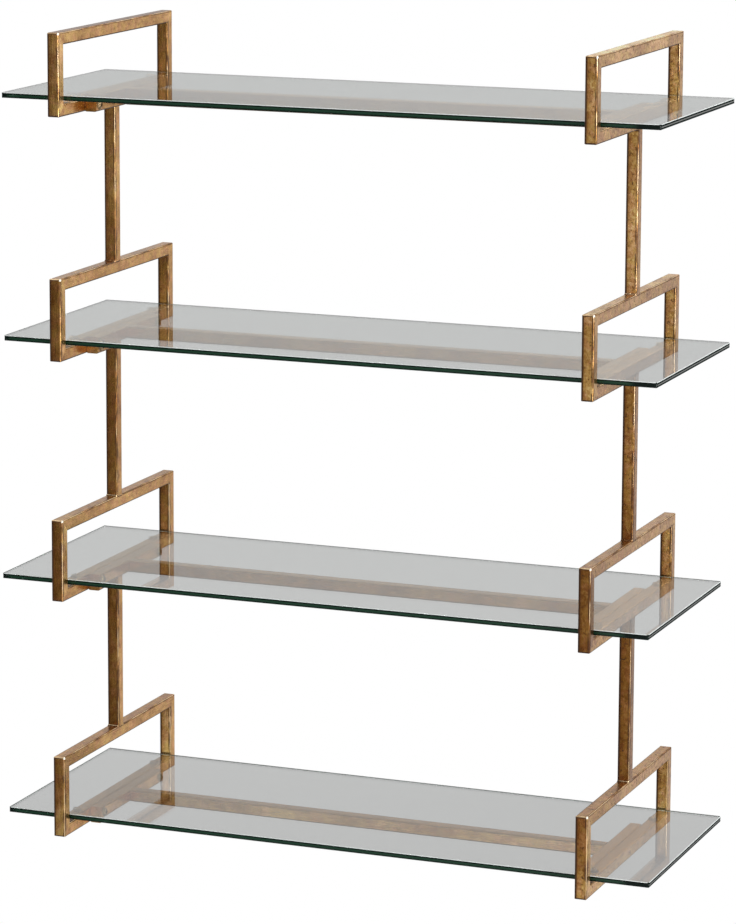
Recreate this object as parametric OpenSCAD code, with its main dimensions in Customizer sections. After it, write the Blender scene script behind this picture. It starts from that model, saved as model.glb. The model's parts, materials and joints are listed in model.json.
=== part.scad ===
// Four-tier wall shelf: two side frames of square tube, each a stack of open
// loops joined by short posts, with a loose glass pane passed endwise through
// every pair of loops. X runs along the shelf, the front faces -Y, Z is up.
// The origin is on the wall plane, at the centre of the four keyholes.

/* [Side frames] */
// Width over the two side frames
frame_w = 636; // [500:1:900]
// Depth of the side frames, from the wall to the front
frame_d = 306; // [260:1:380]
// Height of one loop, outside to outside
loop_h = 93.5; // [80:0.5:140]
// Length of the post between two loops
post_len = 180; // [140:1:260]

/* [Square tube] */
// Outer width of the square tube
tube = 14; // [13:0.5:18]
// Wall thickness of the tube
tube_wall = 1.5; // [1:0.1:2]
// Rounding of the tube's long outer edges
tube_edge_r = 2; // [1:0.1:2.5]
// Rounding of the long edges inside the tube
tube_bore_r = 0.6; // [0.3:0.1:1]
// Rounding of a loop's mitred outer corners, where the weld is ground off
mitre_corner_r = 2.5; // [0.5:0.1:3]

/* [Glass panes] */
// How far a pane passes the outside of each side frame
pane_overhang = 65; // [20:1:120]
// Thickness of the glass
pane_t = 6; // [4:0.5:10]
// Gap between a pane's long edge and the uprights beside it
pane_gap = 3; // [1:0.5:8]
// Rounding of a pane's corners, seen from above
pane_corner_r = 3; // [1:0.5:10]
// Width of the ground arris along a pane's edges
pane_arris = 0.6; // [0.2:0.1:1.5]
// Sideways placing of the third pane, which lies a little off centre
pane_3_shift = -5; // [-20:1:20]

/* [Cross rails] */
// Length of the end bar that bolts against a loop
end_bar_len = 172; // [120:1:200]
// Thickness of the plate that closes an end bar
end_cap_t = 2; // [1:0.5:4]
// Distance from an end bar's end to the middle of its bolt
bolt_inset = 8.5; // [8:0.5:30]

/* [Fasteners] */
// Diameter of the bolt's shank
bolt_d = 6; // [4:0.5:6]
// Length of the bolt's shank under its head
bolt_len = 25; // [23:0.5:26]
// Diameter of the bolt's button head
head_d = 10.5; // [8:0.5:11]
// Height of the bolt's button head
head_h = 3.3; // [2:0.1:4]
// Width across flats of the hexagon socket
socket_af = 4; // [2.5:0.5:4]
// Depth of the hexagon socket
socket_depth = 2.2; // [1:0.1:2.5]
// Gap round the shank in a drilled hole
drill_clear = 0.3; // [0.1:0.05:0.5]
// Width across flats of the weld nut inside the loop's bar
nut_af = 10; // [8:0.5:10.5]
// Thickness of the weld nut
nut_t = 5; // [3:0.5:6]
// Gap between the shank and the nut's bore, threads left plain
thread_clear = 0.1; // [0.05:0.05:0.2]

/* [Bumpers] */
// Diameter of a clear bumper under the glass
bumper_d = 10; // [6:0.5:10]
// Height of a bumper
bumper_h = 3; // [2:0.5:5]
// Rounding of a bumper's upper edge
bumper_r = 0.8; // [0.3:0.1:1.5]
// Distance from the loop's front or back face to a bumper's middle
bumper_inset = 47; // [25:1:100]

/* [Wall keyholes] */
// Diameter of the round entry
keyhole_d = 9; // [7:0.5:9.5]
// Width of the slot above the entry
keyhole_slot_w = 4.6; // [3:0.1:5]
// Rise from the entry's middle to the top of the slot's run
keyhole_rise = 9; // [7:0.5:12]

/* [Hidden] */
TIERS = 4;
LEFT = -1;
RIGHT = 1;
FRONT = -1;
REAR = 1;

// Small excess that carries a cutting shape clear of a face
over = 1;

round_fn = 24;
hole_fn = 48;

gold = [0.68, 0.50, 0.28];
glass_tint = [0.72, 0.80, 0.78, 0.45];
dark_brass = [0.30, 0.22, 0.14];
clear_rubber = [0.88, 0.90, 0.90, 0.6];

height = TIERS * loop_h + (TIERS - 1) * post_len;
tier_pitch = loop_h + post_len;
tube_bore = tube - 2 * tube_wall;
half_span = frame_w / 2 - tube;
rail_len = 2 * (half_span - tube);
mid_y = -frame_d / 2;
pane_len = frame_w + 2 * pane_overhang;
pane_d = frame_d - 2 * (tube + pane_gap);
pane_rise = tube + bumper_h;

// Middle of a side frame's tubes along X
function frame_x(side) = side * (frame_w - tube) / 2;
// Underside of the loop of a tier, counted from the top
function loop_z(tier) = height / 2 - loop_h - (tier - 1) * tier_pitch;
// Middle of an end bar along X
function end_bar_x(side) = side * (half_span - tube / 2);
// Sideways placing of each tier's pane
function pane_x(tier) = tier == 3 ? pane_3_shift : 0;

// A square with rounded corners, centred
module rounded_square(size, r) {
  square([size - 2 * r, size], center = true);
  square([size, size - 2 * r], center = true);
  for (x = [-1, 1], y = [-1, 1])
    translate([x * (size / 2 - r), y * (size / 2 - r)])
      circle(r = r, $fn = round_fn);
}

// The tube's section
module tube_section() {
  difference() {
    rounded_square(tube, tube_edge_r);
    rounded_square(tube_bore, tube_bore_r);
  }
}

// A length of tube along Z, centred
module tube_z(length) {
  linear_extrude(length, center = true)
    tube_section();
}

// A length of tube along Y, centred
module tube_y(length) {
  rotate([90, 0, 0])
    tube_z(length);
}

// A shape drawn in Y and Z, given thickness along X
module across_x(width) {
  rotate([90, 0, 90])
    linear_extrude(width, center = true)
      children();
}

// The outline of a loop with its rounded outer corners, centred
module loop_outline() {
  r = mitre_corner_r;
  square([frame_d - 2 * r, loop_h], center = true);
  square([frame_d, loop_h - 2 * r], center = true);
  for (y = [-1, 1], z = [-1, 1])
    translate([y * (frame_d / 2 - r), z * (loop_h / 2 - r)])
      circle(r = r, $fn = round_fn);
}

// The share of a loop that belongs to its top bar, bounded by the mitres
module bar_share() {
  y = frame_d / 2;
  z = loop_h / 2;
  polygon([
    [-y - over, z + over],
    [y + over, z + over],
    [y - tube - over, z - tube - over],
    [-y + tube + over, z - tube - over]
  ]);
}

// The share of a loop that belongs to its rear upright
module upright_share() {
  y = frame_d / 2;
  z = loop_h / 2;
  polygon([
    [y + over, z + over],
    [y + over, -z - over],
    [y - tube - over, -z + tube + over],
    [y - tube - over, z - tube - over]
  ]);
}

// The top bar of a loop about the loop's middle
module mitred_bar() {
  intersection() {
    translate([0, 0, (loop_h - tube) / 2])
      tube_y(frame_d + 2 * over);
    across_x(tube + 2 * over)
      bar_share();
    across_x(tube + 2 * over)
      loop_outline();
  }
}

// The rear upright of a loop about the loop's middle
module mitred_upright() {
  intersection() {
    translate([0, (frame_d - tube) / 2, 0])
      tube_z(loop_h + 2 * over);
    across_x(tube + 2 * over)
      upright_share();
    across_x(tube + 2 * over)
      loop_outline();
  }
}

// Places a loop's pieces in their side frame and tier
module in_loop(side, tier) {
  translate([frame_x(side), mid_y, loop_z(tier) + loop_h / 2])
    children();
}

// The bolts' places along an end bar, at the middle of its height
module at_bolts(tier) {
  for (end = [-1, 1])
    translate([0, mid_y + end * (end_bar_len / 2 - bolt_inset), loop_z(tier) + tube / 2])
      children();
}

module loop_top_bar(side, tier) {
  color(gold)
    in_loop(side, tier)
      mitred_bar();
}

// The bottom bar has the drilled holes that the rail's bolts go into
module loop_bottom_bar(side, tier) {
  color(gold)
    difference() {
      in_loop(side, tier)
        mirror([0, 0, 1])
          mitred_bar();
      at_bolts(tier)
        translate([side * (half_span + tube_wall / 2), 0, 0])
          rotate([0, 90, 0])
            cylinder(d = bolt_d + 2 * drill_clear, h = tube_wall + 2 * over, center = true, $fn = hole_fn);
    }
}

module loop_front_upright(side, tier) {
  color(gold)
    in_loop(side, tier)
      mirror([0, 1, 0])
        mitred_upright();
}

// The keyhole's outline, drawn in X and Z: the screw's head enters below
module keyhole() {
  rotate([90, 0, 0])
    linear_extrude(tube_wall + 2 * over, center = true) {
      circle(d = keyhole_d, $fn = hole_fn);
      translate([-keyhole_slot_w / 2, 0])
        square([keyhole_slot_w, keyhole_rise]);
      translate([0, keyhole_rise])
        circle(d = keyhole_slot_w, $fn = hole_fn);
    }
}

// The top and bottom loops hang on the wall by keyholes in their rear faces
module loop_rear_upright(side, tier) {
  color(gold)
    difference() {
      in_loop(side, tier)
        mitred_upright();
      if (tier == 1 || tier == TIERS)
        translate([frame_x(side), -tube_wall / 2, loop_z(tier) + loop_h / 2])
          keyhole();
    }
}

// A post stands on the loop below and carries the loop above
module post(side, tier) {
  color(gold)
    translate([frame_x(side), mid_y, loop_z(tier) - post_len / 2])
      tube_z(post_len);
}

// An end bar is a closed length of tube, drilled through for its two bolts
module end_bar(side, tier) {
  color(gold)
    difference() {
      translate([end_bar_x(side), mid_y, loop_z(tier) + tube / 2])
        difference() {
          rotate([90, 0, 0])
            linear_extrude(end_bar_len, center = true)
              rounded_square(tube, tube_edge_r);
          rotate([90, 0, 0])
            linear_extrude(end_bar_len - 2 * end_cap_t, center = true)
              rounded_square(tube_bore, tube_bore_r);
        }
      at_bolts(tier)
        translate([end_bar_x(side), 0, 0])
          rotate([0, 90, 0])
            cylinder(d = bolt_d + 2 * drill_clear, h = tube + 2 * over, center = true, $fn = hole_fn);
    }
}

module cross_rail(tier) {
  color(gold)
    translate([0, mid_y, loop_z(tier) + tube / 2])
      rotate([90, 0, 90])
        linear_extrude(rail_len, center = true)
          tube_section();
}

// A bolt along X about the underside of its head, head towards -X
module rail_bolt() {
  head_r = head_d / 2;
  dome_r = (head_r * head_r + head_h * head_h) / (2 * head_h);
  difference() {
    rotate([0, -90, 0])
      union() {
        intersection() {
          cylinder(r = head_r, h = head_h, $fn = hole_fn);
          translate([0, 0, head_h - dome_r])
            sphere(r = dome_r, $fn = hole_fn);
        }
        translate([0, 0, -bolt_len])
          cylinder(d = bolt_d, h = bolt_len + head_h / 4, $fn = hole_fn);
      }
    translate([-head_h - over, 0, 0])
      rotate([0, 90, 0])
        cylinder(d = socket_af / cos(30), h = socket_depth + over, $fn = 6);
  }
}

module rail_bolts() {
  color(dark_brass)
    for (side = [LEFT, RIGHT], tier = [1 : TIERS])
      at_bolts(tier)
        translate([side * (half_span - tube), 0, 0])
          mirror([side == LEFT ? 1 : 0, 0, 0])
            rail_bolt();
}

// Hexagon weld nuts against the inside of the bottom bars' walls, with a flat
// up and a flat down, because only their flats fit between the bar's walls
module rail_nuts() {
  color(dark_brass)
    for (side = [LEFT, RIGHT], tier = [1 : TIERS])
      at_bolts(tier)
        translate([side * (half_span + tube_wall + nut_t / 2), 0, 0])
          rotate([30, 0, 0])
            rotate([0, 90, 0])
              difference() {
                cylinder(d = nut_af / cos(30), h = nut_t, center = true, $fn = 6);
                cylinder(d = bolt_d + 2 * thread_clear, h = nut_t + 2 * over, center = true, $fn = hole_fn);
              }
}

// A clear bumper standing on its flat base
module bumper() {
  r = bumper_d / 2;
  rotate_extrude($fn = hole_fn)
    union() {
      square([r - bumper_r, bumper_h]);
      square([r, bumper_h - bumper_r]);
      intersection() {
        translate([r - bumper_r, bumper_h - bumper_r])
          circle(r = bumper_r, $fn = round_fn);
        square([r + over, bumper_h + over]);
      }
    }
}

// Four bumpers carry a pane, two on each bottom bar
module bumpers(tier) {
  color(clear_rubber)
    for (side = [LEFT, RIGHT], end = [FRONT, REAR])
      translate([
        frame_x(side),
        mid_y + end * (frame_d / 2 - bumper_inset),
        loop_z(tier) + tube
      ])
        bumper();
}

// A long bar of the pane's section with an arris on its four long edges
module arrised_bar(width, length) {
  w = width / 2;
  t = pane_t / 2;
  a = pane_arris;
  linear_extrude(length, center = true)
    polygon([
      [-w, t - a], [-w + a, t], [w - a, t], [w, t - a],
      [w, -t + a], [w - a, -t], [-w + a, -t], [-w, -t + a]
    ]);
}

// The glass: both pairs of edges have an arris, and the corners are rounded
module glass_pane(tier) {
  r = pane_corner_r;
  color(glass_tint)
    translate([pane_x(tier), mid_y, loop_z(tier) + pane_rise + pane_t / 2])
      intersection() {
        rotate([90, 0, 90])
          arrised_bar(pane_d, pane_len + 2 * over);
        rotate([90, 0, 0])
          arrised_bar(pane_len, pane_d + 2 * over);
        linear_extrude(pane_t + 2 * over, center = true)
          union() {
            square([pane_len - 2 * r, pane_d], center = true);
            square([pane_len, pane_d - 2 * r], center = true);
            for (x = [-1, 1], y = [-1, 1])
              translate([x * (pane_len / 2 - r), y * (pane_d / 2 - r)])
                circle(r = r, $fn = round_fn);
          }
      }
}

loop_top_bar(LEFT, 1);  // left_loop_1_top_bar
loop_bottom_bar(LEFT, 1);  // left_loop_1_bottom_bar
loop_front_upright(LEFT, 1);  // left_loop_1_front_upright
loop_rear_upright(LEFT, 1);  // left_loop_1_rear_upright
loop_top_bar(LEFT, 2);  // left_loop_2_top_bar
loop_bottom_bar(LEFT, 2);  // left_loop_2_bottom_bar
loop_front_upright(LEFT, 2);  // left_loop_2_front_upright
loop_rear_upright(LEFT, 2);  // left_loop_2_rear_upright
loop_top_bar(LEFT, 3);  // left_loop_3_top_bar
loop_bottom_bar(LEFT, 3);  // left_loop_3_bottom_bar
loop_front_upright(LEFT, 3);  // left_loop_3_front_upright
loop_rear_upright(LEFT, 3);  // left_loop_3_rear_upright
loop_top_bar(LEFT, 4);  // left_loop_4_top_bar
loop_bottom_bar(LEFT, 4);  // left_loop_4_bottom_bar
loop_front_upright(LEFT, 4);  // left_loop_4_front_upright
loop_rear_upright(LEFT, 4);  // left_loop_4_rear_upright
loop_top_bar(RIGHT, 1);  // right_loop_1_top_bar
loop_bottom_bar(RIGHT, 1);  // right_loop_1_bottom_bar
loop_front_upright(RIGHT, 1);  // right_loop_1_front_upright
loop_rear_upright(RIGHT, 1);  // right_loop_1_rear_upright
loop_top_bar(RIGHT, 2);  // right_loop_2_top_bar
loop_bottom_bar(RIGHT, 2);  // right_loop_2_bottom_bar
loop_front_upright(RIGHT, 2);  // right_loop_2_front_upright
loop_rear_upright(RIGHT, 2);  // right_loop_2_rear_upright
loop_top_bar(RIGHT, 3);  // right_loop_3_top_bar
loop_bottom_bar(RIGHT, 3);  // right_loop_3_bottom_bar
loop_front_upright(RIGHT, 3);  // right_loop_3_front_upright
loop_rear_upright(RIGHT, 3);  // right_loop_3_rear_upright
loop_top_bar(RIGHT, 4);  // right_loop_4_top_bar
loop_bottom_bar(RIGHT, 4);  // right_loop_4_bottom_bar
loop_front_upright(RIGHT, 4);  // right_loop_4_front_upright
loop_rear_upright(RIGHT, 4);  // right_loop_4_rear_upright
post(LEFT, 1);  // left_post_1
post(LEFT, 2);  // left_post_2
post(LEFT, 3);  // left_post_3
post(RIGHT, 1);  // right_post_1
post(RIGHT, 2);  // right_post_2
post(RIGHT, 3);  // right_post_3
end_bar(LEFT, 1);  // left_end_bar_1
end_bar(LEFT, 2);  // left_end_bar_2
end_bar(LEFT, 3);  // left_end_bar_3
end_bar(LEFT, 4);  // left_end_bar_4
end_bar(RIGHT, 1);  // right_end_bar_1
end_bar(RIGHT, 2);  // right_end_bar_2
end_bar(RIGHT, 3);  // right_end_bar_3
end_bar(RIGHT, 4);  // right_end_bar_4
cross_rail(1);  // cross_rail_1
cross_rail(2);  // cross_rail_2
cross_rail(3);  // cross_rail_3
cross_rail(4);  // cross_rail_4
glass_pane(1);  // glass_pane_1
glass_pane(2);  // glass_pane_2
glass_pane(3);  // glass_pane_3
glass_pane(4);  // glass_pane_4
bumpers(1);  // bumpers_1
bumpers(2);  // bumpers_2
bumpers(3);  // bumpers_3
bumpers(4);  // bumpers_4
rail_bolts();
rail_nuts();
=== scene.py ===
"""Looks of the wall shelf: antiqued gold leaf over square tube, green-edged glass, clear bumpers and bolts.

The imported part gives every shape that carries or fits. This script gives each surface its finish, adds the
small weld beads at the posts' heads and feet, and sets the floor, the light and the camera.
"""

import json
import math

import bmesh
import bpy
from mathutils import Matrix, Vector


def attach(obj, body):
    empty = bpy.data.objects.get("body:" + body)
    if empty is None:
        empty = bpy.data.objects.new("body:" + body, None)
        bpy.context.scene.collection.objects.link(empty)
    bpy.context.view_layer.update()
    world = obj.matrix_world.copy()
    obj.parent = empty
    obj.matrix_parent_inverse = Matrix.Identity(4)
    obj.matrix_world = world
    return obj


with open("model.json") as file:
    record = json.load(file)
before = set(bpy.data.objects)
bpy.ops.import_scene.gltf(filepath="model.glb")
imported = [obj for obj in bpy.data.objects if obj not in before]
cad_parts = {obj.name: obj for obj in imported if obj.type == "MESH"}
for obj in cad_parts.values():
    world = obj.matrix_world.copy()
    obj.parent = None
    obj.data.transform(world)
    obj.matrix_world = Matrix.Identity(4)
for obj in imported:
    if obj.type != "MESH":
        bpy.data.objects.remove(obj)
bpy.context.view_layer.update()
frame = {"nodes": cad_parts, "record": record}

MM = 0.001

# The joints between posts and loops, in mm: the loops' undersides, their height and the tube
UNDERSIDES = (363.5, 90.0, -183.5, -457.0)
LOOP_HEIGHT = 93.5
POST_X = 311.0
POST_Y = -153.0
TUBE_HALF = 7.0
TUBE_EDGE = 2.0

# A weld bead: its size in mm, how far that ripples as shares of it, the steps round a post's corner and along
# its face, and its section as shares of its size, outward and up. Like the weld that is ground flush, it ends
# just short of the tube's faces.
BEAD = 1.5
RIPPLE = 0.16
FINE_RIPPLE = 0.07
CORNER_STEPS = 6
FACE_STEPS = 20
BEAD_SECTION = ((-0.2, 1.0), (0.05, 1.0), (0.58, 0.60), (1.0, 0.05), (1.0, -0.1), (-0.2, -0.1))
BEAD_REACH = 6.96
GROUND_REACH = 6.97
GROUND_STEPS = 10

# The photograph's viewpoint, fitted to the shelf's own sizes. The picture is 736 by 924.
CAMERA_AT = (1.6362, -4.3281, 0.8851)
CAMERA_AZIMUTH = 21.371
CAMERA_TILT = 9.684
CAMERA_ROLL = 0.240
FOCAL_PIXELS = 4070.2
PICTURE_HEIGHT = 924
SENSOR = 36.0
SHIFT_Y = -0.14

# The floor lies well below the shelf. It glows to the camera, and a little to gloss and glass.
FLOOR_Z = -1.6
FLOOR_RADIUS = 3.0
FLOOR_SEGMENTS = 96
FLOOR_GREY = (0.70, 0.70, 0.70)
FLOOR_GLOW = 0.56
FLOOR_MIRRORED = 0.05

# The room's brightness: on matt surfaces, and what gloss and glass show of its parts. The front has two
# levels, at the horizon and above. The dark side is a direction that only gloss shows dark.
WHITE = (1.0, 1.0, 1.0)
PLAIN_LEVEL = 0.80
BACK_LEVEL = 0.61
CEILING_LEVEL = 1.60
FRONT_LEVELS = (1.2, 0.7)
THROUGH_LEVEL = 0.73
THROUGH_FALL = 0.10
DARK_SIDE = (-0.87, -0.50, 0.0)
DARK_LEVEL = 0.10

# The lamps: where each hangs, its width and height in metres and its power in watts. Both face the shelf.
LAMPS = {
    "side": ((3.2, -1.3, 0.6), (0.9, 2.4), 60.0),
    "over": ((1.9, 0.0, 2.6), (0.7, 0.7), 40.0),
}
LIT_POINT = (0.0, -0.15, 0.0)

# Leaf colours, from the glaze in the pits to the leaf rubbed bright along an edge. The glaze colour also
# paints shade, the rubbed leaf also paints highlights, the pale top leaf paints light on tops under the glass
# and the near-white leaf paints a glint on a loop's corner.
GLAZE_AND_SHADE = (0.055, 0.020, 0.006)
LEAF_DARK = (0.285, 0.121, 0.024)
LEAF = (0.455, 0.236, 0.057)
LEAF_PALE = (0.600, 0.368, 0.128)
LEAF_LIT_TOP = (0.700, 0.470, 0.325)
GLINT_WHITE = (0.960, 0.900, 0.780)
RUBBED_AND_HIGHLIGHT = (0.780, 0.600, 0.380)
PINKISH = (1.08, 0.95, 1.35)

# A tone multiplies red, and green and blue by these powers of it. The last three are for the painted light on
# tops under the glass.
GREEN_POWER = 1.35
BLUE_POWER = 1.80
LIT_TOP_POWERS = (1.0, 1.6, 3.0)

# The leaf's patterns, each a noise: its scale per metre, detail, roughness and distortion
BRUSHING = (1400.0, 3.0, 0.6)
STREAKS = (210.0, 4.0, 0.6)
WEAR = (70.0, 2.0, 0.5)
CLOUDS = (55.0, 5.0, 0.62, 0.3)
MOTTLE = (230.0, 4.0, 0.68, 0.4)
SPECKLE = (900.0, 2.0, 0.6)
PINK_PATCHES = (85.0, 3.0, 0.5, 0.6)
DRIFT = (16.0, 2.0, 0.5, 0.4)

# How far the brushing, and the streaks and wear, are drawn out along a tube
BRUSHED_OUT = 0.045
DRAWN_OUT = 0.30

# How near in m two surfaces are for painted shade to darken the crevice between them, and how strong and how
# deep in m the leaf's relief is
CREVICE = 0.004
LEAF_RELIEF = (0.30, 0.00035)

# Where a rounded edge begins, its crown, and the flat just beside it. The largest part of the surface's
# direction is 1 on a flat face and about 0.71 on the crown.
EDGE_FROM = (0.985, 0.945)
CROWN_FROM = (0.82, 0.76)
BESIDE_EDGE = (0.998, 0.975)

# A painted reflection of the pale floor below: an upright's front is paler at its foot at the bottom of the
# shelf, over these heights in m, up to this tone
FLOOR_LIGHT_HEIGHTS = (-0.410, -0.452)
FLOOR_LIGHT_TONE = 1.75

# The depth in m where a bar's top passes under the pane's front edge
UNDER_PANE = (-0.284, -0.262)

# A loop's corner with a painted glint, as shares of a tube's own box: right of one, and for an upright and a
# top bar in front of one and above another
GLINT_RIGHT = 0.895
GLINT_REACH = {"Z": (0.145, 0.982), "Y": (0.0072, 0.87)}

# The pane: its body, its film and waves as noises, the waves' relief, the colour of the painted highlight on
# its arris and its shadow's shade
GLASS_IOR = 1.5
GLASS_TINT = (0.87, 0.83, 0.85)
GLASS_INSIDE = (0.05, 0.42, 0.22)
GLASS_DENSITY = 17.0
GLASS_SHADOW = (0.84, 0.88, 0.86)
FILM = (9.0, 5.0, 0.6, 0.5)
WAVES = (14.0, 2.0, 0.5)
WAVE_RELIEF = (0.05, 0.0005)
ARRIS_HIGHLIGHT = (0.80, 0.84, 0.83)

# The pane's polished edge: dark lines of painted shade over green, or over a grey painted reflection at its
# ends, and how much it hides the depth
EDGE_SHADE = (0.003, 0.008, 0.006)
EDGE_GREEN = (0.014, 0.046, 0.026)
EDGE_END_REFLECTION = (0.048, 0.050, 0.049)
EDGE_BODY = 0.92

# The bumpers, with a bloom on them, and how much of their body shows
RUBBER_MILKY = (0.90, 0.90, 0.89)
RUBBER_CLEAR = (0.98, 0.98, 0.97)
RUBBER_IOR = 1.30
RUBBER_BODY = 0.35
BLOOM = (700.0, 3.0, 0.6)

# The bolts, their wear and grain as noises, and the grain's relief
PLATING = (0.13, 0.080, 0.040)
BRASS = (0.46, 0.33, 0.19)
BOLT_WEAR = (500.0, 4.0, 0.65)
BOLT_GRAIN = (2600.0, 2.0, 0.5)
BOLT_RELIEF = (0.25, 0.0001)

# The nuts, with the marks of their making
STEEL_DARK = (0.42, 0.42, 0.41)
STEEL_PALE = (0.62, 0.62, 0.61)
TURNING_MARKS = (1500.0, 3.0, 0.6)

# Hand-laid leaf differs from piece to piece: the tone of its front, its sides and its top. Between the faces
# of a piece the tones are painted light and shade.
TONES_AND_LIGHT = {
    "left_loop_1_front_upright": (1.12, 1.58, 1.0), "left_loop_2_front_upright": (0.76, 1.30, 1.0),
    "left_loop_3_front_upright": (0.68, 1.36, 1.0), "left_loop_4_front_upright": (0.84, 1.18, 1.0),
    "right_loop_1_front_upright": (1.10, 0.95, 1.0), "right_loop_2_front_upright": (1.10, 0.95, 1.0),
    "right_loop_3_front_upright": (0.62, 0.62, 1.0), "right_loop_4_front_upright": (0.67, 1.32, 1.0),
    "left_loop_1_rear_upright": (0.90, 1.10, 1.0), "left_loop_2_rear_upright": (0.85, 1.10, 1.0),
    "left_loop_3_rear_upright": (0.85, 1.10, 1.0), "left_loop_4_rear_upright": (1.40, 1.20, 1.0),
    "right_loop_1_rear_upright": (1.25, 1.0, 1.0), "right_loop_2_rear_upright": (1.15, 1.0, 1.0),
    "right_loop_3_rear_upright": (1.15, 1.0, 1.0), "right_loop_4_rear_upright": (1.15, 1.0, 1.0),
    "left_post_1": (0.95, 1.10, 1.0), "left_post_2": (0.74, 0.95, 1.0), "left_post_3": (0.74, 1.10, 1.0),
    "right_post_1": (1.25, 0.85, 1.0), "right_post_2": (0.72, 0.60, 1.0), "right_post_3": (0.56, 0.50, 1.0),
    "left_loop_1_top_bar": (1.12, 1.15, 0.50), "left_loop_2_top_bar": (0.76, 1.05, 1.0),
    "left_loop_3_top_bar": (0.68, 1.05, 0.95), "left_loop_4_top_bar": (0.84, 1.12, 0.90),
    "right_loop_1_top_bar": (1.10, 1.15, 2.30), "right_loop_2_top_bar": (1.10, 0.95, 1.60),
    "right_loop_3_top_bar": (0.62, 0.95, 1.05), "right_loop_4_top_bar": (0.76, 0.97, 0.92),
}

# The same three tones for the tubes of each tier whose tops lie under the glass, where the top's tone paints
# light as paler leaf
LIT_TOP_TONES = {1: (1.05, 1.0, 0.82), 2: (1.25, 0.82, 0.86), 3: (1.10, 1.05, 0.72), 4: (1.55, 1.15, 0.60)}

# How strongly the glaze mottles the tubes of the left, those of the right, the cross rails and the welds
MOTTLING = {"left": 0.55, "right": 1.25, "cross": 0.40}
WELD_MOTTLING = 0.4


def new_material(name):
    """A material with an empty node tree, and its tree."""
    material = bpy.data.materials.new(name)
    material.use_nodes = True
    material.node_tree.nodes.clear()
    return material, material.node_tree


def feed(tree, socket, value):
    """Wires an output into an input, or sets the input to a number, a vector or a colour."""
    if isinstance(value, bpy.types.NodeSocket):
        tree.links.new(value, socket)
    elif socket.type == "RGBA":
        socket.default_value = (*value, 1.0)
    else:
        socket.default_value = value


def node(tree, kind, inputs, **settings):
    """A shader node with its settings and its inputs, by name or number, each another's output or a value."""
    made = tree.nodes.new(kind)
    for name, value in settings.items():
        setattr(made, name, value)
    for name, value in inputs.items():
        feed(tree, made.inputs[name], value)
    return made


def coordinates(tree, kind):
    """A surface point's place, Object, its shares of the piece's box, Generated, or its direction, Normal."""
    return node(tree, "ShaderNodeTexCoord", {}).outputs[kind]


def split(tree, vector):
    """A vector's x, y and z."""
    parts = node(tree, "ShaderNodeSeparateXYZ", {"Vector": vector})
    return parts.outputs["X"], parts.outputs["Y"], parts.outputs["Z"]


def facing(tree):
    """The surface's own direction, as x, y and z."""
    return split(tree, coordinates(tree, "Normal"))


def in_box(tree):
    """A point's shares of its piece's box, from the left, from the front and from below."""
    return split(tree, coordinates(tree, "Generated"))


def drawn_out(tree, place, along, share):
    """Places squeezed to a share along an axis, which draws a pattern out along it."""
    scale = tuple(share if axis == along else 1.0 for axis in "XYZ")
    return node(tree, "ShaderNodeMapping", {"Vector": place, "Scale": scale}).outputs["Vector"]


def noise(tree, place, scale, detail, roughness, distortion=0.0):
    """A noise in 0 to 1, mostly 0.3 to 0.7, about a scale per metre."""
    inputs = {"Vector": place, "Scale": scale, "Detail": detail, "Roughness": roughness}
    inputs["Distortion"] = distortion
    return node(tree, "ShaderNodeTexNoise", inputs).outputs["Fac"]


def span(tree, value, low, high, to_low=0.0, to_high=1.0, course="SMOOTHSTEP"):
    """value from low..high brought to to_low..to_high, smoothly and within bounds."""
    inputs = {"Value": value, "From Min": low, "From Max": high, "To Min": to_low, "To Max": to_high}
    return node(tree, "ShaderNodeMapRange", inputs, interpolation_type=course).outputs["Result"]


def ramp(tree, value, low, high, to_low, to_high):
    """value from low..high brought straight to to_low..to_high, within bounds."""
    return span(tree, value, low, high, to_low, to_high, "LINEAR")


def calc(tree, operation, *values):
    """A sum on one or two values, each a socket or a number."""
    return node(tree, "ShaderNodeMath", dict(enumerate(values)), operation=operation).outputs["Value"]


def chained(tree, operation, values):
    """A sum on some values, one after another."""
    total = values[0]
    for value in values[1:]:
        total = calc(tree, operation, total, value)
    return total


def highest(tree, *values):
    """The highest of some values."""
    return chained(tree, "MAXIMUM", values)


def times(tree, *values):
    """The product of some values."""
    return chained(tree, "MULTIPLY", values)


def plus(tree, *values):
    """The total of some values."""
    return chained(tree, "ADD", values)


def less(tree, first, second):
    """One value less another."""
    return calc(tree, "SUBTRACT", first, second)


def outside(tree, share):
    """What a share leaves of 1."""
    return less(tree, 1.0, share)


def mix_of(tree, kind, factor, first, second, **settings):
    """Two values of a kind, Float or Color, mixed by a factor."""
    made = node(tree, "ShaderNodeMix", {}, **settings)
    for name, value in (("Factor_Float", factor), (f"A_{kind}", first), (f"B_{kind}", second)):
        feed(tree, next(socket for socket in made.inputs if socket.identifier == name), value)
    return next(socket for socket in made.outputs if socket.identifier == f"Result_{kind}")


def mixed(tree, factor, first, second):
    """Two numbers mixed by a factor, each a socket or a number."""
    return mix_of(tree, "Float", factor, first, second, data_type="FLOAT")


def blended(tree, factor, first, second):
    """Two colours mixed by a factor, each a socket or a colour."""
    return mix_of(tree, "Color", factor, first, second, data_type="RGBA", blend_type="MIX")


def multiplied(tree, first, second):
    """Two colours multiplied, each a socket or a colour."""
    return mix_of(tree, "Color", 1.0, first, second, data_type="RGBA", blend_type="MULTIPLY")


def bumped(tree, height, strength, distance):
    """The surface's direction under a fine relief."""
    inputs = {"Height": height, "Strength": strength, "Distance": distance}
    return node(tree, "ShaderNodeBump", inputs).outputs["Normal"]


def principled(tree, inputs):
    """A principled shader."""
    return node(tree, "ShaderNodeBsdfPrincipled", inputs).outputs["BSDF"]


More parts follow.
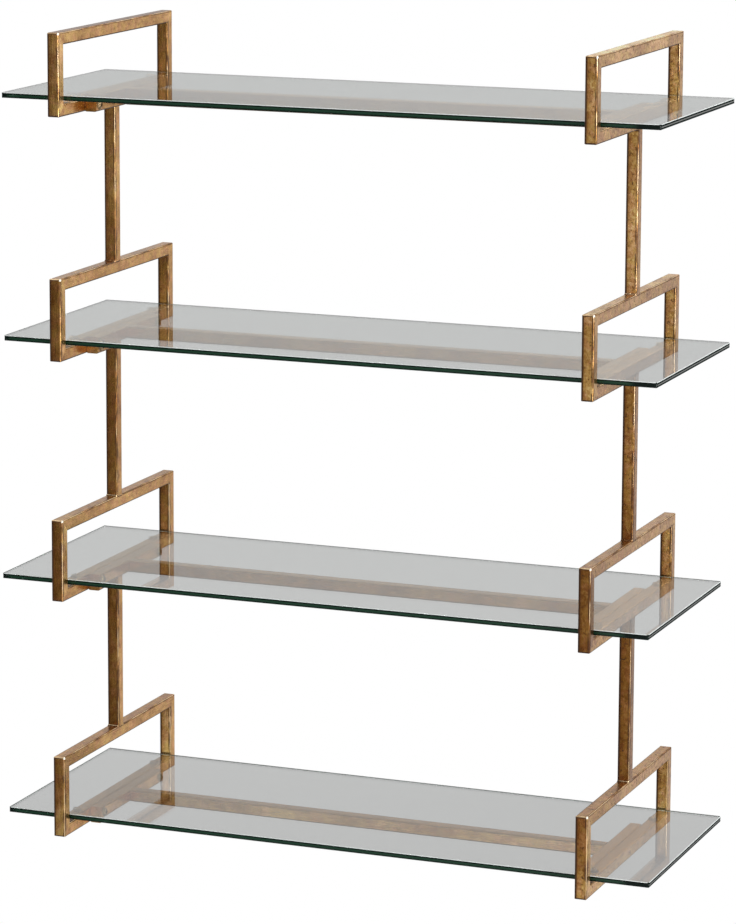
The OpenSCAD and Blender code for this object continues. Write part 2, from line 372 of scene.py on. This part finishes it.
def layered(tree, factor, first, second):
    """Two shaders mixed by a factor."""
    return node(tree, "ShaderNodeMixShader", {"Fac": factor, 1: first, 2: second}).outputs["Shader"]


def tinted(tree, colour, tone):
    """A colour made lighter and paler, or darker and redder, by a tone about 1."""
    green = calc(tree, "POWER", tone, GREEN_POWER)
    blue = calc(tree, "POWER", tone, BLUE_POWER)
    tint = node(tree, "ShaderNodeCombineXYZ", {"X": tone, "Y": green, "Z": blue})
    return multiplied(tree, colour, tint.outputs["Vector"])


def tone_with_painted_light(tree, along, tones, place):
    """The leaf's tone at a point: one for the front, one for the sides, one for the top, which paint light
    and shade, with slow drift. An upright's front is darker towards its left, and painted light makes it
    paler at the foot of the shelf."""
    front_tone, side_tone, top_tone = tones
    _, y, z = facing(tree)
    # Fronts, sides and tops take their own tones: painted light and shade by the way a face turns
    in_front = span(tree, y, -0.70, -0.92)
    on_top = span(tree, z, 0.70, 0.92)
    tone = mixed(tree, on_top, mixed(tree, in_front, side_tone, front_tone), top_tone)
    tone = times(tree, tone, ramp(tree, noise(tree, place, *DRIFT), 0.32, 0.68, 0.80, 1.20))
    if along == "Z":
        from_left, _, _ = in_box(tree)
        _, _, height = split(tree, place)
        fall = mixed(tree, in_front, 1.0, span(tree, from_left, 0.05, 0.60, 0.72, 1.08))
        painted_floor_light = mixed(tree, in_front, 1.0, span(tree, height, *FLOOR_LIGHT_HEIGHTS, 1.0, FLOOR_LIGHT_TONE))
        tone = times(tree, tone, fall, painted_floor_light)
    return tone


def leaf_colour(tree, place, mottling, brushing, streaks, clouds, mottle):
    """The leaf before glaze and wear: dark in clouds, paler where mottled and brushed, pinkish in patches."""
    cloudy = plus(tree, times(tree, clouds, 0.55), times(tree, streaks, 0.45))
    colour = blended(tree, span(tree, cloudy, 0.38, 0.60), LEAF_DARK, LEAF)
    colour = blended(tree, span(tree, mottle, 0.46, 0.66, 0.0, 0.6 * mottling), colour, LEAF_PALE)
    colour = blended(tree, span(tree, brushing, 0.35, 0.70, 0.0, 0.20), colour, LEAF_PALE)
    patches = span(tree, noise(tree, place, *PINK_PATCHES), 0.46, 0.58, 0.0, 0.7)
    return blended(tree, patches, colour, multiplied(tree, colour, PINKISH))


def painted_outline_shade(tree, x, y, streaks):
    """Painted shade beside an upright's front edges, on its front and on its right side, broken by streaks.
    """
    from_left, from_front, _ = in_box(tree)
    left = span(tree, from_left, 0.235, 0.17, 0.0, 0.90)
    right = times(tree, span(tree, from_left, 0.775, 0.85), span(tree, streaks, 0.60, 0.44, 0.10, 0.85))
    front = times(tree, highest(tree, left, right), span(tree, y, -0.80, -0.95))
    beside = times(tree, span(tree, from_front, 0.30, 0.18), span(tree, streaks, 0.58, 0.42, 0.10, 0.85))
    return highest(tree, front, times(tree, beside, span(tree, x, 0.80, 0.95)))


def edge_shade_and_wear(tree, along, flattest, crown, wear):
    """Painted shade on an edge by the way it faces, and how bright it is rubbed: wear, with a painted
    highlight kept off edges that face left or down. On all but rails and welds an upper front edge has a dark
    brow of painted shade under a painted highlight along its worn rim."""
    x, y, z = facing(tree)
    # Painted shade on edges that face left or down
    turned = highest(tree, span(tree, x, -0.04, -0.22), span(tree, z, -0.04, -0.22))
    shade = times(tree, span(tree, flattest, *BESIDE_EDGE, 0.0, 0.96), turned)
    away = highest(tree, span(tree, x, -0.15, -0.45), span(tree, z, -0.10, -0.35))
    rub_and_highlight = times(tree, crown, span(tree, wear, 0.45, 0.58, 0.0, 0.80), outside(tree, away))
    if along != "X":
        # A painted highlight along an upper front edge's worn rim, with painted shade in a dark brow below it
        painted_rim_highlight = times(tree, span(tree, y, -0.20, -0.36), span(tree, z, 0.50, 0.64))
        painted_rim_highlight = times(tree, painted_rim_highlight, span(tree, wear, 0.42, 0.56, 0.10, 0.70))
        painted_brow_shade = times(tree, span(tree, y, -0.30, -0.50), span(tree, z, 0.04, 0.16, 0.0, 0.85))
        painted_brow_shade = times(tree, painted_brow_shade, outside(tree, painted_rim_highlight))
        shade = highest(tree, shade, painted_brow_shade)
        rub_and_highlight = highest(tree, times(tree, rub_and_highlight, outside(tree, painted_brow_shade)), painted_rim_highlight)
    return shade, rub_and_highlight


def painted_corner_glint(tree, along):
    """1 at the upper front corner of a loop, on its right, where a glint is painted, and 0 elsewhere."""
    from_left, from_front, from_below = in_box(tree)
    near_front, near_top = GLINT_REACH[along]
    in_depth = calc(tree, "LESS_THAN", from_front, near_front)
    in_height = calc(tree, "GREATER_THAN", from_below, near_top)
    return times(tree, calc(tree, "GREATER_THAN", from_left, GLINT_RIGHT), in_depth, in_height)


def leaf_metal(name, along, tones, mottling, lit_top=False, painted_glint=False):
    """Antiqued gold leaf on a tube that runs along an axis: mottled leaf, dark glaze in the pits, painted
    shade beside the edges and in the crevices, fine brushing along the tube and edges rubbed to a bright
    line, partly a painted highlight. A top under the glass can be painted lighter, and a loop's upper front
    corner can take a painted glint."""
    material, tree = new_material(name)
    place = coordinates(tree, "Object")
    drawn = drawn_out(tree, place, along, DRAWN_OUT)
    brushing = noise(tree, drawn_out(tree, place, along, BRUSHED_OUT), *BRUSHING)
    streaks = noise(tree, drawn, *STREAKS)
    wear = noise(tree, drawn, *WEAR)
    clouds = noise(tree, place, *CLOUDS)
    mottle = noise(tree, place, *MOTTLE)
    speckle = noise(tree, place, *SPECKLE)
    x, y, z = facing(tree)
    flattest = highest(tree, *[calc(tree, "ABSOLUTE", part) for part in (x, y, z)])
    edge = span(tree, flattest, *EDGE_FROM)
    crown = span(tree, flattest, *CROWN_FROM)
    crevice = node(tree, "ShaderNodeAmbientOcclusion", {"Distance": CREVICE}, samples=6).outputs["AO"]

    body = leaf_colour(tree, place, mottling, brushing, streaks, clouds, mottle)
    body = tinted(tree, body, tone_with_painted_light(tree, along, tones, place))
    specks = span(tree, speckle, 0.60, 0.72, 0.0, 0.60 * mottling)
    spots = highest(tree, specks, span(tree, mottle, 0.46, 0.28, 0.0, 0.85 * mottling))
    # Dark lines beside each edge's crown: glaze, and painted shade flanking the painted highlight
    lines = times(tree, edge, outside(tree, crown), span(tree, streaks, 0.62, 0.40, 0.50, 0.95))
    chips = times(tree, edge, span(tree, wear, 0.46, 0.40, 0.0, 0.75))
    # Painted shade: crevices where surfaces come close are darkened towards the glaze colour
    painted_crevice_shade = span(tree, crevice, 0.70, 0.30, 0.0, 0.9)
    shade, rub_and_highlight = edge_shade_and_wear(tree, along, flattest, crown, wear)
    # Glaze in pits and chips, together with the painted shade of edges, brow, outlines and crevices
    glaze_and_shade = highest(tree, spots, lines, chips, shade, painted_crevice_shade)
    if along == "Z":
        glaze_and_shade = highest(tree, glaze_and_shade, painted_outline_shade(tree, x, y, streaks))
    # A painted glint: a loop's upper front corner turns near white and matt
    if painted_glint:
        glint = painted_corner_glint(tree, along)
        glaze_and_shade = times(tree, glaze_and_shade, outside(tree, glint))
    # Painted light: a top under the glass takes paler, matter leaf with less glaze, toned per tier; a bar's
    # top ahead of the pane's front edge is darkened
    if lit_top:
        lit_top_share = times(tree, span(tree, z, 0.30, 0.70), span(tree, mottle, 0.30, 0.50, 0.70, 1.0))
        if along == "Y":
            _, depth, _ = split(tree, place)
            under_pane = span(tree, depth, *UNDER_PANE)
            ahead = times(tree, span(tree, z, 0.80, 0.95), outside(tree, under_pane))
            lit_top_share = times(tree, lit_top_share, under_pane)
            glaze_and_shade = highest(tree, glaze_and_shade, times(tree, ahead, 0.80))
        glaze_and_shade = times(tree, glaze_and_shade, outside(tree, times(tree, lit_top_share, 0.9)))
        rub_and_highlight = times(tree, rub_and_highlight, outside(tree, lit_top_share))
        lit_top_colour = tuple(part * tones[2] ** power for part, power in zip(LEAF_LIT_TOP, LIT_TOP_POWERS))
        body = blended(tree, lit_top_share, body, lit_top_colour)
    body = blended(tree, glaze_and_shade, body, GLAZE_AND_SHADE)
    # Rubbed wear, and a painted highlight along the edges' crowns
    body = blended(tree, rub_and_highlight, body, RUBBED_AND_HIGHLIGHT)

    rough = span(tree, brushing, 0.3, 0.7, 0.20, 0.29)
    rough = plus(tree, rough, times(tree, glaze_and_shade, 0.22), times(tree, edge, 0.08))
    metal = span(tree, glaze_and_shade, 0.0, 1.0, 0.97, 0.65)
    if lit_top:
        rough = plus(tree, rough, times(tree, lit_top_share, 0.20))
        metal = less(tree, metal, times(tree, lit_top_share, 0.60))
    if painted_glint:
        body = blended(tree, glint, body, GLINT_WHITE)
        metal = less(tree, metal, times(tree, glint, 0.70))

    grain = times(tree, brushing, less(tree, 0.25, times(tree, edge, 0.22)))
    relief = plus(tree, less(tree, grain, times(tree, spots, 0.8)), times(tree, clouds, 0.9))
    normal = bumped(tree, relief, *LEAF_RELIEF)
    shader = principled(tree, {"Base Color": body, "Roughness": rough, "Metallic": metal, "Normal": normal})
    node(tree, "ShaderNodeOutputMaterial", {"Surface": shader})
    return material


def painted_edge_shade(tree, at_end):
    """The dark lines of painted shade on a pane's edge: all, near its top and foot and at its corners, and
    its ends' alone.
    """
    from_left, _, from_below = in_box(tree)
    upper = span(tree, from_below, 0.60, 0.74)
    lower = span(tree, from_below, 0.36, 0.20, 0.0, 0.8)
    corners = highest(tree, span(tree, from_left, 0.955, 0.970), span(tree, from_left, 0.016, 0.006))
    corners = times(tree, corners, outside(tree, at_end))
    on_ends = highest(tree, span(tree, from_below, 0.55, 0.63), span(tree, from_below, 0.42, 0.34))
    on_ends = times(tree, on_ends, at_end)
    return highest(tree, upper, lower, corners, on_ends), on_ends


def pane_glass(name):
    """Clear float glass whose green shows along the edges, with a faint film of handling on its faces. The
    edges carry painted shade in dark lines, a painted reflection in grey at the ends and a painted highlight
    on the upper arris.
    """
    material, tree = new_material(name)
    place = coordinates(tree, "Object")
    film = span(tree, noise(tree, place, *FILM), 0.45, 0.75, 0.0, 0.035)
    waves = bumped(tree, noise(tree, place, *WAVES), *WAVE_RELIEF)
    faces = principled(tree, {"Base Color": GLASS_TINT, "IOR": GLASS_IOR, "Transmission Weight": 1.0,
                              "Roughness": film, "Normal": waves})

    x, y, z = facing(tree)
    at_end = span(tree, calc(tree, "ABSOLUTE", x), 0.60, 0.80)
    lines, on_ends = painted_edge_shade(tree, at_end)
    # Green edges, grey at the ends as a painted reflection, under dark lines of painted shade
    colour = blended(tree, lines, blended(tree, at_end, EDGE_GREEN, EDGE_END_REFLECTION), EDGE_SHADE)
    gloss = mixed(tree, lines, mixed(tree, at_end, 0.15, 0.30), 0.08)
    gloss = times(tree, gloss, outside(tree, on_ends))
    edge = principled(tree, {"Base Color": colour, "IOR": GLASS_IOR, "Roughness": 0.06,
                             "Specular IOR Level": gloss})

    # The edge's body covers the upright faces and the lower arris, but not the flat underside
    flat = calc(tree, "ABSOLUTE", z)
    covered = span(tree, flat, 0.35, 0.20, 0.0, EDGE_BODY)
    covered = highest(tree, covered, span(tree, z, -0.50, -0.55, 0.0, EDGE_BODY))
    covered = highest(tree, covered, times(tree, span(tree, flat, 0.35, 0.20), on_ends))
    covered = times(tree, covered, outside(tree, span(tree, z, -0.90, -0.95)))

    # A painted highlight on the upper arris, towards the front and the right
    arris_highlight = times(tree, span(tree, z, 0.45, 0.60), span(tree, z, 0.90, 0.80))
    arris_highlight = times(tree, arris_highlight, span(tree, less(tree, x, y), 0.10, 0.30))
    arris_highlight = times(tree, arris_highlight, span(tree, x, 0.45, 0.60, 0.85, 0.66))
    highlight_matt = node(tree, "ShaderNodeBsdfDiffuse", {"Color": ARRIS_HIGHLIGHT}).outputs["BSDF"]
    solid = layered(tree, arris_highlight, layered(tree, covered, faces, edge), highlight_matt)

    clear = node(tree, "ShaderNodeBsdfTransparent", {"Color": GLASS_SHADOW}).outputs["BSDF"]
    shadow_ray = node(tree, "ShaderNodeLightPath", {}).outputs["Is Shadow Ray"]
    surface = layered(tree, shadow_ray, solid, clear)
    inside = node(tree, "ShaderNodeVolumeAbsorption", {"Color": GLASS_INSIDE, "Density": GLASS_DENSITY})
    node(tree, "ShaderNodeOutputMaterial", {"Surface": surface, "Volume": inside.outputs["Volume"]})
    return material


def clear_rubber(name):
    """Soft clear plastic, slightly milky, with a fine bloom."""
    material, tree = new_material(name)
    bloom = noise(tree, coordinates(tree, "Object"), *BLOOM)
    colour = blended(tree, bloom, RUBBER_MILKY, RUBBER_CLEAR)
    rough = span(tree, bloom, 0.3, 0.7, 0.04, 0.16)
    milky = principled(tree, {"Base Color": colour, "Roughness": rough, "IOR": RUBBER_IOR,
                              "Transmission Weight": 0.95})
    clear = node(tree, "ShaderNodeBsdfTransparent", {"Color": RUBBER_CLEAR}).outputs["BSDF"]
    node(tree, "ShaderNodeOutputMaterial", {"Surface": layered(tree, RUBBER_BODY, clear, milky)})
    return material


def dark_bolt(name):
    """Antiqued bolt: brown-black plating worn to brass in patches."""
    material, tree = new_material(name)
    place = coordinates(tree, "Object")
    wear = noise(tree, place, *BOLT_WEAR)
    colour = blended(tree, span(tree, wear, 0.42, 0.66), PLATING, BRASS)
    rough = span(tree, wear, 0.3, 0.7, 0.42, 0.24)
    normal = bumped(tree, noise(tree, place, *BOLT_GRAIN), *BOLT_RELIEF)
    shader = principled(tree, {"Base Color": colour, "Roughness": rough, "Metallic": 0.9, "Normal": normal})
    node(tree, "ShaderNodeOutputMaterial", {"Surface": shader})
    return material


def plain_steel(name):
    """Bare steel of the weld nuts, with turning marks."""
    material, tree = new_material(name)
    marks = noise(tree, coordinates(tree, "Object"), *TURNING_MARKS)
    colour = blended(tree, marks, STEEL_DARK, STEEL_PALE)
    rough = span(tree, marks, 0.3, 0.7, 0.28, 0.45)
    shader = principled(tree, {"Base Color": colour, "Roughness": rough, "Metallic": 1.0})
    node(tree, "ShaderNodeOutputMaterial", {"Surface": shader})
    return material


def dress(name, material):
    """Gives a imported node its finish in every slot."""
    piece = frame["nodes"][name]
    if not piece.material_slots:
        piece.data.materials.append(material)
    for slot in piece.material_slots:
        slot.material = material


def leaf_of(name, made):
    """The leaf of a packed tube, made once for each axis, tone and side."""
    if "rail" in name:
        axis = "X"
    elif "bar" in name:
        axis = "Y"
    else:
        axis = "Z"
    side = name.split("_")[0]
    tier = int(next(letter for letter in name if letter.isdigit()))
    lit_top = name not in TONES_AND_LIGHT
    tones = LIT_TOP_TONES[tier] if lit_top else TONES_AND_LIGHT[name]
    painted_glint = name.endswith(("front_upright", "top_bar"))
    key = (axis, tones, side, lit_top, painted_glint)
    if key not in made:
        made[key] = leaf_metal(f"gold_leaf_{name}", axis, tones, MOTTLING[side], lit_top, painted_glint)
    return made[key]


def dress_all():
    """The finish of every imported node."""
    plain = {"glass": pane_glass("pane_glass"), "clear_bumper": clear_rubber("clear_rubber"),
             "dark_bolt": dark_bolt("dark_bolt"), "plain_steel": plain_steel("plain_steel")}
    leaf = {}
    for part in frame["record"]["subparts"]:
        name, slot = part["node"], part["material_slot"]
        dress(name, plain[slot] if slot in plain else leaf_of(name, leaf))


def bar_edge(x):
    """How far a bar's face has fallen at x from its middle, where its long edge is rounded."""
    past = min(abs(x) - (TUBE_HALF - TUBE_EDGE), TUBE_EDGE)
    if past <= 0.0:
        return 0.0
    return math.sqrt(TUBE_EDGE ** 2 - past ** 2) - TUBE_EDGE


def skin(build, rows):
    """Faces between rows of points, each row a ring of one length, with a cap on the first and the last."""
    made = [[build.verts.new(point) for point in row] for row in rows]
    count = len(made[0])
    for first, second in zip(made, made[1:]):
        for i in range(count):
            j = (i + 1) % count
            build.faces.new((first[i], first[j], second[j], second[i]))
    build.faces.new(made[0])
    build.faces.new(list(reversed(made[-1])))


def post_corner(middle, start):
    """Points round a post's rounded corner and the way each faces, from its middle in x and its first way."""
    points = []
    for i in range(CORNER_STEPS + 1):
        turn = math.radians(start + 90.0 * i / CORNER_STEPS)
        x = middle + TUBE_EDGE * math.cos(turn)
        y = TUBE_HALF - TUBE_EDGE + TUBE_EDGE * math.sin(turn)
        points.append((x, y, turn))
    return points


def bead_rows(toward):
    """A weld bead round one face of a post's end and its two corners, in rippled steps."""
    straight = TUBE_HALF - TUBE_EDGE
    path = post_corner(straight, 0.0)
    for i in range(1, FACE_STEPS):
        path.append((straight - 2.0 * straight * i / FACE_STEPS, TUBE_HALF, math.pi / 2.0))
    path += post_corner(-straight, 90.0)
    rows = []
    for i, (x, y, turn) in enumerate(path):
        ripple = RIPPLE * math.sin(1.9 * i + 0.7 * toward)
        size = BEAD * (1.0 + ripple + FINE_RIPPLE * math.sin(4.3 * i))
        row = []
        for out, up in BEAD_SECTION:
            at_x = max(-BEAD_REACH, min(BEAD_REACH, x + out * size * math.cos(turn)))
            at_y = y + out * size * math.sin(turn)
            # A point high on the post follows little of the fall of the bar's rounded edge
            fall = bar_edge(at_x) * (1.0 - 0.7 * max(up, 0.0))
            row.append((at_x, toward * at_y, fall + up * size))
        rows.append(row)
    return rows


def ground_rows(side):
    """The weld that fills the notch between a post's side and a bar's rounded edge, ground flush."""
    inner = TUBE_HALF - TUBE_EDGE
    rows = []
    for i in range(GROUND_STEPS + 1):
        y = inner * (2.0 * i / GROUND_STEPS - 1.0)
        face = GROUND_REACH - 0.03 * math.sin(2.3 * i)
        points = [(inner, 0.0), (face, 0.0), (face, bar_edge(face))]
        points += [(inner + step, bar_edge(inner + step)) for step in (1.5, 1.0, 0.5)]
        rows.append([(side * x, y, z) for x, z in points])
    return rows


def weld(name, x, feet):
    """The weld beads at both ends of one post: feet gives each height and the way the post leaves it."""
    build = bmesh.new()
    for z, way in feet:
        for toward in (-1.0, 1.0):
            for rows in (bead_rows(toward), ground_rows(toward)):
                placed = [[((x + px) * MM, (POST_Y + py) * MM, (z + way * pz) * MM) for px, py, pz in row]
                          for row in rows]
                skin(build, placed)
    bmesh.ops.recalc_face_normals(build, faces=build.faces)
    for face in build.faces:
        face.smooth = True
    mesh = bpy.data.meshes.new(name)
    build.to_mesh(mesh)
    build.free()
    piece = bpy.data.objects.new(name, mesh)
    bpy.context.scene.collection.objects.link(piece)
    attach(piece, "frame")
    return piece


def weld_posts():
    """The beads of every post, in leaf as dark as the post's own."""
    for side, x in (("left", -POST_X), ("right", POST_X)):
        for post in (1, 2, 3):
            tones = TONES_AND_LIGHT[f"{side}_post_{post}"]
            feet = ((UNDERSIDES[post - 1], -1.0), (UNDERSIDES[post] + LOOP_HEIGHT, 1.0))
            piece = weld(f"{side}_post_{post}_welds", x, feet)
            leaf = leaf_metal(f"gold_leaf_{side}_weld_{post}", "X", tones, WELD_MOTTLING)
            piece.data.materials.append(leaf)


def lay_floor():
    """A pale matt floor well below the shelf, white to the camera."""
    mesh = bpy.data.meshes.new("floor")
    build = bmesh.new()
    bmesh.ops.create_circle(build, cap_ends=True, radius=FLOOR_RADIUS, segments=FLOOR_SEGMENTS)
    build.to_mesh(mesh)
    build.free()
    floor = bpy.data.objects.new("floor", mesh)
    floor.location = (0.0, 0.0, FLOOR_Z)
    bpy.context.scene.collection.objects.link(floor)
    material, tree = new_material("pale_floor")
    ray = node(tree, "ShaderNodeLightPath", {}).outputs
    mirrored = highest(tree, ray["Is Glossy Ray"], ray["Is Transmission Ray"])
    seen = highest(tree, ray["Is Camera Ray"], times(tree, mirrored, FLOOR_MIRRORED))
    matt = node(tree, "ShaderNodeBsdfDiffuse", {"Color": FLOOR_GREY})
    glow = node(tree, "ShaderNodeEmission", {"Strength": times(tree, seen, FLOOR_GLOW)})
    both = node(tree, "ShaderNodeAddShader", {0: matt.outputs["BSDF"], 1: glow.outputs["Emission"]})
    node(tree, "ShaderNodeOutputMaterial", {"Surface": both.outputs["Shader"]})
    mesh.materials.append(material)


def light_room():
    """White to the camera, and one plain level on matt surfaces. Gloss and glass show a room instead: a back
    wall that is bright from well above the horizon and a front that darkens upwards. Below the horizon gloss
    shows a dark side and glass shows one pale level."""
    world = bpy.data.worlds.new("studio")
    bpy.context.scene.world = world
    world.use_nodes = True
    tree = world.node_tree
    tree.nodes.clear()
    ray = node(tree, "ShaderNodeLightPath", {}).outputs
    direction = coordinates(tree, "Generated")
    across, depth, height = split(tree, direction)
    front = span(tree, depth, 0.05, -0.55)
    back = span(tree, height, 0.31, 0.46, BACK_LEVEL, CEILING_LEVEL)
    upper = mixed(tree, front, back, ramp(tree, height, 0.0, 0.35, *FRONT_LEVELS))
    is_upper = mixed(tree, front, span(tree, height, -0.01, 0.02), span(tree, height, 0.02, 0.06))

    sideways = node(tree, "ShaderNodeVectorMath", {0: direction, 1: DARK_SIDE}, operation="DOT_PRODUCT")
    lower = span(tree, sideways.outputs["Value"], 0.64, 0.84, 1.0, DARK_LEVEL)
    lower_back = times(tree, lower, ramp(tree, across, 0.30, 0.42, 0.78, 1.0))
    lower = mixed(tree, span(tree, depth, -0.2, 0.2), lower, lower_back)
    mirrored_room = mixed(tree, is_upper, lower, upper)
    through = ramp(tree, height, -0.30, -0.24, THROUGH_LEVEL - THROUGH_FALL, THROUGH_LEVEL)
    through_room = mixed(tree, is_upper, through, upper)

    level = mixed(tree, ray["Is Glossy Ray"], PLAIN_LEVEL, mirrored_room)
    level = mixed(tree, ray["Is Transmission Ray"], level, through_room)
    level = mixed(tree, ray["Is Camera Ray"], level, 1.0)
    background = node(tree, "ShaderNodeBackground", {"Color": WHITE, "Strength": level})
    node(tree, "ShaderNodeOutputWorld", {"Surface": background.outputs["Background"]})


def lamp(name, at, size, watts):
    """A soft rectangular lamp that the camera doesn't see, turned to the shelf."""
    data = bpy.data.lights.new(name, "AREA")
    data.shape = "RECTANGLE"
    data.size, data.size_y = size
    data.energy = watts
    made = bpy.data.objects.new(name, data)
    made.location = at
    made.rotation_mode = "QUATERNION"
    made.rotation_quaternion = (Vector(LIT_POINT) - Vector(at)).to_track_quat("-Z", "Y")
    made.visible_camera = False
    bpy.context.scene.collection.objects.link(made)


def camera():
    """The photograph's viewpoint."""
    data = bpy.data.cameras.new("camera")
    data.sensor_width = SENSOR
    data.lens = FOCAL_PIXELS * SENSOR / PICTURE_HEIGHT
    data.shift_y = SHIFT_Y
    made = bpy.data.objects.new("camera", data)
    turn = Matrix.Rotation(math.radians(CAMERA_AZIMUTH), 4, "Z")
    tilt = Matrix.Rotation(math.radians(90.0 - CAMERA_TILT), 4, "X")
    roll = Matrix.Rotation(math.radians(CAMERA_ROLL), 4, "Z")
    made.matrix_world = Matrix.Translation(CAMERA_AT) @ turn @ tilt @ roll
    bpy.context.scene.collection.objects.link(made)
    bpy.context.scene.camera = made


camera()
dress_all()
weld_posts()
lay_floor()
light_room()
for lamp_name, (lamp_at, lamp_size, lamp_watts) in LAMPS.items():
    lamp(lamp_name, lamp_at, lamp_size, lamp_watts)
bpy.context.scene.view_settings.view_transform = "Standard"
